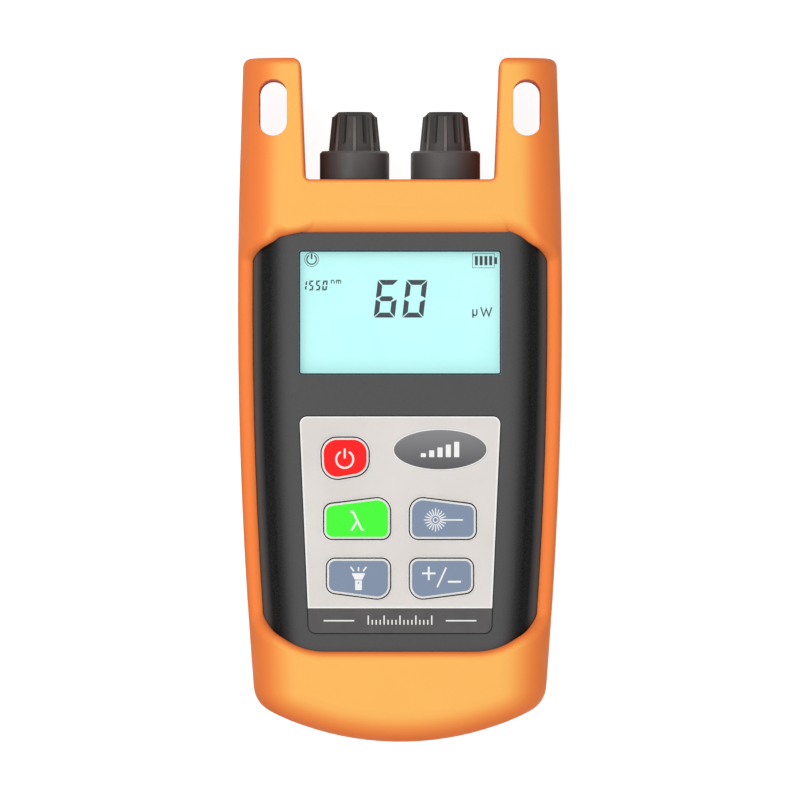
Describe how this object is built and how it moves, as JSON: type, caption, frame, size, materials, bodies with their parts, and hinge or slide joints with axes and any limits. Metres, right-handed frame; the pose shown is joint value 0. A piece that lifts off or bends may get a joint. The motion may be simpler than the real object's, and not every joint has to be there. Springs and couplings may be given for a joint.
{
  "type": "optical power meter",
  "caption": "Handheld fibre-optic power meter with a laser source, in a rubber holster with strap slots; display, sprung keys, capped ports and a hinged battery door.",
  "frame": {"origin": "under the middle of the holster, on the surface that the meter lies on", "axes": "+X to the right of the face, +Y towards the fibre ports, +Z out of the face"},
  "size_m": [0.082, 0.1726, 0.033],
  "materials": {
    "holster_rubber": "matte",
    "case_plastic": "fine spark texture",
    "clear_window": "polished",
    "display_glass": "smooth",
    "light_guide": "smooth",
    "inner_plastic": "moulded",
    "zebra_rubber": "matte",
    "overlay_film": "satin",
    "mat_rubber": "matte",
    "circuit_board": "solder resist",
    "chip_plastic": "moulded",
    "red_key": "satin",
    "green_key": "satin",
    "grey_key": "satin",
    "port_plastic": "turned",
    "nickel_plate": "satin nickel",
    "ceramic": "polished zirconia",
    "gold_can": "gold plated",
    "brass_housing": "turned",
    "clear_lamp": "moulded",
    "battery_sleeve": "plain jacket",
    "spring_steel": "nickel plated",
    "screw_steel": "zinc plated",
    "cap_rubber": "satin"
  },
  "bodies": {
    "meter": {"rubber_holster": "holster_rubber", "front_shell": "case_plastic", "rear_shell": "case_plastic", "display_window": "clear_window", "lcd_glass": "display_glass", "lcd_backlight": "light_guide", "lcd_frame": "inner_plastic", "elastomer_connector": "zebra_rubber", "keypad_overlay": "overlay_film", "keypad_mat": "mat_rubber", "main_board": "circuit_board", "microcontroller": "chip_plastic", "power_port_collar": "port_plastic", "laser_port_collar": "port_plastic", "power_port_adapter": "nickel_plate", "laser_port_adapter": "nickel_plate", "power_port_sleeve": "ceramic", "laser_port_sleeve": "ceramic", "photodetector": "gold_can", "laser_module": "brass_housing", "torch_led": "clear_lamp", "battery_1": "battery_sleeve", "battery_2": "battery_sleeve", "battery_3": "battery_sleeve", "contact_plates": "spring_steel", "leaf_springs": "spring_steel", "housing_screws": "screw_steel", "board_screws": "screw_steel"},
    "power_button": {"power_key": "red_key"},
    "wavelength_button": {"wavelength_key": "green_key"},
    "laser_button": {"laser_key": "grey_key"},
    "torch_button": {"torch_key": "grey_key"},
    "reference_button": {"reference_key": "grey_key"},
    "power_cap": {"power_port_cap": "cap_rubber"},
    "laser_cap": {"laser_port_cap": "cap_rubber"},
    "door": {"battery_door": "case_plastic"}
  },
  "joints": [
    {"name": "power_button_press", "type": "slide", "parent": "meter", "child": "power_button", "axis": [0, 0, -1], "range_m": [0, 0.0008], "stiffness_N_per_m": 1200, "springref_m": -0.0004, "deforming": ["keypad_mat"]},
    {"name": "wavelength_button_press", "type": "slide", "parent": "meter", "child": "wavelength_button", "axis": [0, 0, -1], "range_m": [0, 0.0008], "stiffness_N_per_m": 1200, "springref_m": -0.0004, "deforming": ["keypad_mat"]},
    {"name": "laser_button_press", "type": "slide", "parent": "meter", "child": "laser_button", "axis": [0, 0, -1], "range_m": [0, 0.0008], "stiffness_N_per_m": 1200, "springref_m": -0.0004, "deforming": ["keypad_mat"]},
    {"name": "torch_button_press", "type": "slide", "parent": "meter", "child": "torch_button", "axis": [0, 0, -1], "range_m": [0, 0.0008], "stiffness_N_per_m": 1200, "springref_m": -0.0004, "deforming": ["keypad_mat"]},
    {"name": "reference_button_press", "type": "slide", "parent": "meter", "child": "reference_button", "axis": [0, 0, -1], "range_m": [0, 0.0008], "stiffness_N_per_m": 1200, "springref_m": -0.0004, "deforming": ["keypad_mat"]},
    {"name": "power_cap_pull", "type": "slide", "parent": "meter", "child": "power_cap", "axis": [0, 1, 0], "range_m": [0, 0.045]},
    {"name": "laser_cap_pull", "type": "slide", "parent": "meter", "child": "laser_cap", "axis": [0, 1, 0], "range_m": [0, 0.045]},
    {"name": "door_hinge", "type": "hinge", "parent": "meter", "child": "door", "pos_m": [0, -0.0714, 0.0034], "axis": [-1, 0, 0], "range_deg": [0, 80]}
  ]
}
